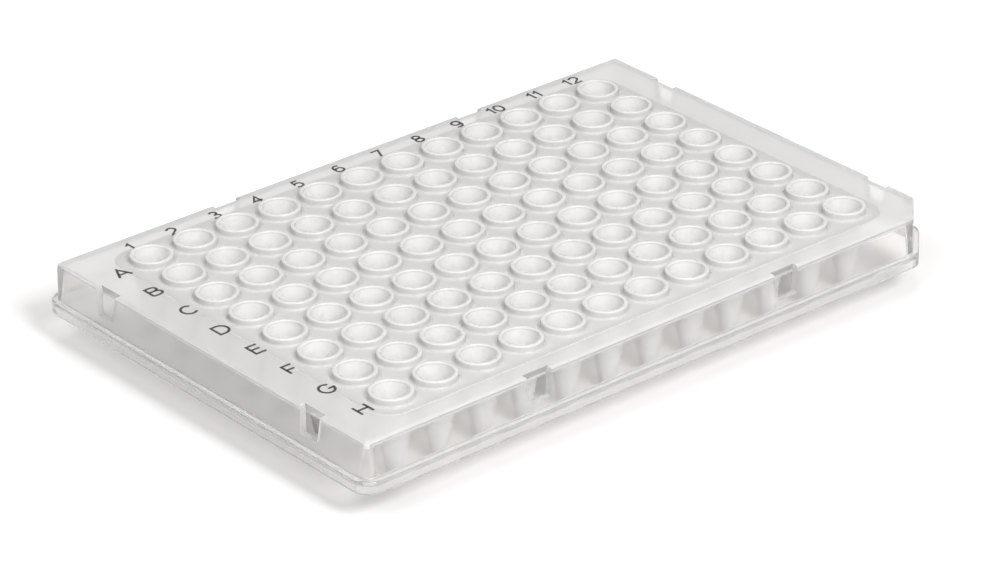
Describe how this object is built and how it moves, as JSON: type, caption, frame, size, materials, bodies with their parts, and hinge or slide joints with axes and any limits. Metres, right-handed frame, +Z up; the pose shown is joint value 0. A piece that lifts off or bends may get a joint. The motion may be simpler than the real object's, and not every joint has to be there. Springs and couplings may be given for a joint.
{
  "type": "well plate",
  "caption": "Half-skirted well plate: a clear frame with a stepped flange, wall notches and a cut corner, holding a sheet of tapered, rimmed wells that reach below the skirt.",
  "frame": {"origin": "on the resting plane, under the middle of the rectangular footprint", "axes": "+X runs along a row from column 1 to column 12, +Y along a column from row H to row A, +Z up; the cut corner lies at +X -Y beside well H12"},
  "size_m": [0.1278, 0.0854, 0.0155],
  "materials": {
    "clear_frame": "polished clear polycarbonate",
    "frosted_wells": "milky translucent polypropylene with a soft sheen"
  },
  "bodies": {
    "root": {"skirted_frame": "clear_frame", "well_sheet": "frosted_wells"}
  },
  "joints": []
}
